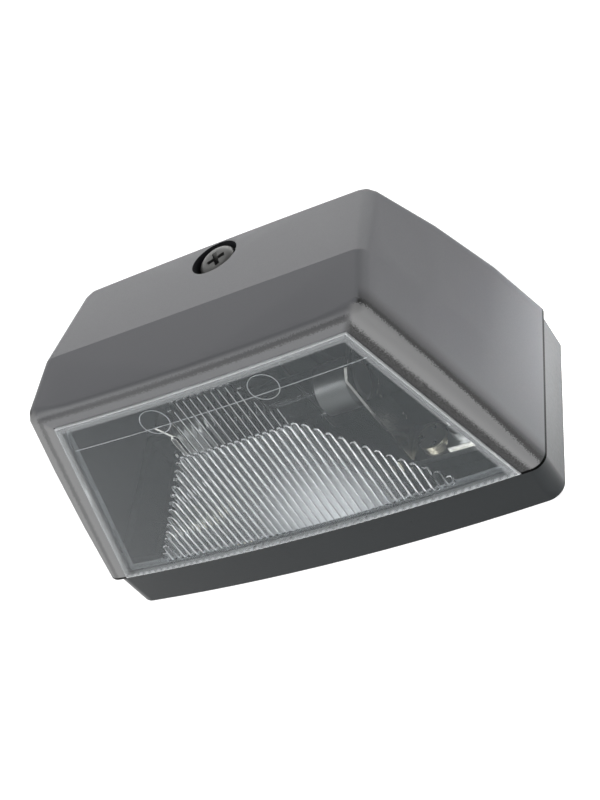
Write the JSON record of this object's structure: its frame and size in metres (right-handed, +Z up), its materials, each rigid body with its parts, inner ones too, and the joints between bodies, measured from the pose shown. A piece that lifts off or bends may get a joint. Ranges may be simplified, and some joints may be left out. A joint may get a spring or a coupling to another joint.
{
  "type": "number plate lamp",
  "caption": "Vehicle number plate lamp: black moulded hood on a tray base, clear fluted lens along one side, festoon bulb between spring contacts inside.",
  "frame": {"origin": "centre of the cable inlet where it leaves the flat mounting face under the base", "axes": "+Z up from the mounting face towards the hood's ridge, -Y the way the lens looks, X along the lamp's length"},
  "size_m": [0.088, 0.0395, 0.0502],
  "materials": {
    "hood_plastic": "fine moulded grain, black",
    "lens_clear": "clear, polished",
    "base_plastic": "smooth satin black",
    "seal_rubber": "matt",
    "screw_steel": "dark zinc",
    "bulb_glass": "clear",
    "cap_metal": "nickel plated",
    "filament_wire": "bare wire",
    "contact_brass": "tinned, bright",
    "rivet_brass": "bright",
    "terminal_steel": "zinc plated"
  },
  "bodies": {
    "root": {"hood": "hood_plastic", "lens": "lens_clear", "base_plate": "base_plastic", "hood_seal": "seal_rubber", "cover_screw": "screw_steel", "bulb_glass": "bulb_glass", "bulb_cap_left": "cap_metal", "bulb_cap_right": "cap_metal", "bulb_filament": "filament_wire", "bulb_lead_left": "filament_wire", "bulb_lead_right": "filament_wire", "contact_left": "contact_brass", "contact_right": "contact_brass", "contact_rivet_left": "rivet_brass", "contact_rivet_right": "rivet_brass", "terminal_screw_left": "terminal_steel", "terminal_screw_right": "terminal_steel", "terminal_clamp_left": "terminal_steel", "terminal_clamp_right": "terminal_steel", "cable_grommet": "seal_rubber"}
  },
  "joints": []
}
